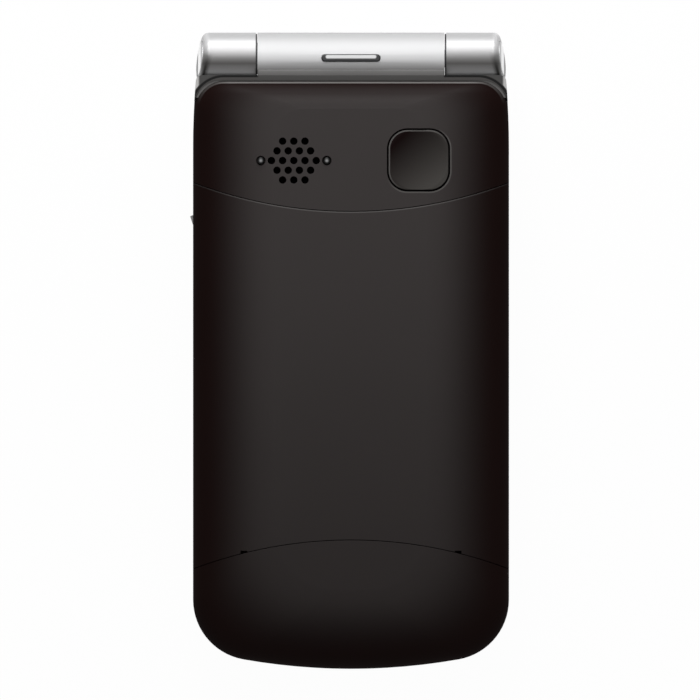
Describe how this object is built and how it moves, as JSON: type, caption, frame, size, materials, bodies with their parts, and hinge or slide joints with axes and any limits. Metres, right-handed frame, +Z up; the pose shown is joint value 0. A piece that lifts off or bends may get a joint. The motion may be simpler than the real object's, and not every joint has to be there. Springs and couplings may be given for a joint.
{
  "type": "flip phone",
  "caption": "Closed clamshell mobile phone lying on its lid, with a barrel hinge, a keypad half with a lift-off battery cover, and a display lid.",
  "frame": {"origin": "on the table under the middle of the closed phone, on the lid's flat outer face", "axes": "+Y towards the hinge, +Z up through the lid and then the keypad half, X across the phone"},
  "size_m": [0.0525, 0.1048, 0.0198],
  "materials": {
    "silver_paint": "satin metallic",
    "black_gloss": "gloss",
    "lens": "clear",
    "display": "dark panel",
    "circuit_board": "solder mask",
    "small_metal": "satin",
    "soft_rubber": "matte",
    "end_cap": "satin metallic",
    "black_plastic": "matte",
    "film": "film",
    "light_window": "frosted",
    "battery_pack": "wrapped",
    "contact_gold": "gold plate",
    "rest_pip": "gloss",
    "key_silver": "satin"
  },
  "bodies": {
    "lid": {"lid_frame": "silver_paint", "lid_cover": "black_gloss", "small_lens": "lens", "small_display": "display", "inner_bezel": "black_gloss", "main_lens": "lens", "main_display": "display", "lid_board": "circuit_board", "receiver": "small_metal", "earpiece_mesh": "small_metal", "lid_screws": "small_metal", "bumpers": "soft_rubber", "magnet": "small_metal", "end_cap_left": "end_cap", "end_cap_right": "end_cap", "cam_shaft": "small_metal", "hinge_bush": "black_plastic", "display_ribbon": "film"},
    "base": {"front_housing": "silver_paint", "rear_housing": "black_gloss", "keypad_fascia": "black_gloss", "hinge_light": "light_window", "indicator_led": "light_window", "hinge_module": "small_metal", "hinge_spring": "small_metal", "dome_sheet": "film", "main_board": "circuit_board", "battery": "battery_pack", "battery_contacts": "contact_gold", "loudspeaker": "small_metal", "speaker_gasket": "soft_rubber", "speaker_mesh": "small_metal", "rest_pips": "rest_pip", "rear_switch": "black_plastic", "vibration_motor": "small_metal", "antenna": "black_plastic", "microphone": "small_metal", "charging_port": "small_metal", "base_screws": "small_metal"},
    "battery_cover": {"battery_cover": "black_gloss"},
    "rear_key": {"rear_key": "black_gloss"},
    "side_slider": {"side_slider": "black_plastic"},
    "nav_rocker": {"nav_rocker": "key_silver"},
    "soft_key_left": {"soft_key_left": "key_silver"},
    "soft_key_right": {"soft_key_right": "key_silver"},
    "call_key": {"call_key": "key_silver"},
    "end_key": {"end_key": "key_silver"},
    "key_1": {"key_1": "key_silver"},
    "key_2": {"key_2": "key_silver"},
    "key_3": {"key_3": "key_silver"},
    "key_4": {"key_4": "key_silver"},
    "key_5": {"key_5": "key_silver"},
    "key_6": {"key_6": "key_silver"},
    "key_7": {"key_7": "key_silver"},
    "key_8": {"key_8": "key_silver"},
    "key_9": {"key_9": "key_silver"},
    "key_star": {"key_star": "key_silver"},
    "key_0": {"key_0": "key_silver"},
    "key_hash": {"key_hash": "key_silver"}
  },
  "joints": [
    {"name": "clamshell_hinge", "type": "hinge", "parent": "lid", "child": "base", "pos_m": [0, 0.04815, 0.00885], "axis": [-1, 0, 0], "range_deg": [0, 160]},
    {"name": "battery_cover_lift", "type": "slide", "parent": "base", "child": "battery_cover", "axis": [0, 0, 1], "range_m": [0, 0.02]},
    {"name": "rear_key_press", "type": "slide", "parent": "base", "child": "rear_key", "axis": [0, 0, -1], "range_m": [0, 0.0005], "stiffness_N_per_m": 300},
    {"name": "side_slider_move", "type": "slide", "parent": "base", "child": "side_slider", "axis": [0, -1, 0], "range_m": [0, 0.002]},
    {"name": "nav_rocker_tilt", "type": "hinge", "parent": "base", "child": "nav_rocker", "pos_m": [0, 0.02815, 0.01119], "axis": [1, 0, 0], "range_deg": [-2, 2], "stiffness_Nm_per_rad": 0.05},
    {"name": "soft_key_left_press", "type": "slide", "parent": "base", "child": "soft_key_left", "axis": [0, 0, 1], "range_m": [0, 0.0004], "stiffness_N_per_m": 250},
    {"name": "soft_key_right_press", "type": "slide", "parent": "base", "child": "soft_key_right", "axis": [0, 0, 1], "range_m": [0, 0.0004], "stiffness_N_per_m": 250},
    {"name": "call_key_press", "type": "slide", "parent": "base", "child": "call_key", "axis": [0, 0, 1], "range_m": [0, 0.0004], "stiffness_N_per_m": 250},
    {"name": "end_key_press", "type": "slide", "parent": "base", "child": "end_key", "axis": [0, 0, 1], "range_m": [0, 0.0004], "stiffness_N_per_m": 250},
    {"name": "key_1_press", "type": "slide", "parent": "base", "child": "key_1", "axis": [0, 0, 1], "range_m": [0, 0.0004], "stiffness_N_per_m": 250},
    {"name": "key_2_press", "type": "slide", "parent": "base", "child": "key_2", "axis": [0, 0, 1], "range_m": [0, 0.0004], "stiffness_N_per_m": 250},
    {"name": "key_3_press", "type": "slide", "parent": "base", "child": "key_3", "axis": [0, 0, 1], "range_m": [0, 0.0004], "stiffness_N_per_m": 250},
    {"name": "key_4_press", "type": "slide", "parent": "base", "child": "key_4", "axis": [0, 0, 1], "range_m": [0, 0.0004], "stiffness_N_per_m": 250},
    {"name": "key_5_press", "type": "slide", "parent": "base", "child": "key_5", "axis": [0, 0, 1], "range_m": [0, 0.0004], "stiffness_N_per_m": 250},
    {"name": "key_6_press", "type": "slide", "parent": "base", "child": "key_6", "axis": [0, 0, 1], "range_m": [0, 0.0004], "stiffness_N_per_m": 250},
    {"name": "key_7_press", "type": "slide", "parent": "base", "child": "key_7", "axis": [0, 0, 1], "range_m": [0, 0.0004], "stiffness_N_per_m": 250},
    {"name": "key_8_press", "type": "slide", "parent": "base", "child": "key_8", "axis": [0, 0, 1], "range_m": [0, 0.0004], "stiffness_N_per_m": 250},
    {"name": "key_9_press", "type": "slide", "parent": "base", "child": "key_9", "axis": [0, 0, 1], "range_m": [0, 0.0004], "stiffness_N_per_m": 250},
    {"name": "key_star_press", "type": "slide", "parent": "base", "child": "key_star", "axis": [0, 0, 1], "range_m": [0, 0.0004], "stiffness_N_per_m": 250},
    {"name": "key_0_press", "type": "slide", "parent": "base", "child": "key_0", "axis": [0, 0, 1], "range_m": [0, 0.0004], "stiffness_N_per_m": 250},
    {"name": "key_hash_press", "type": "slide", "parent": "base", "child": "key_hash", "axis": [0, 0, 1], "range_m": [0, 0.0004], "stiffness_N_per_m": 250}
  ]
}
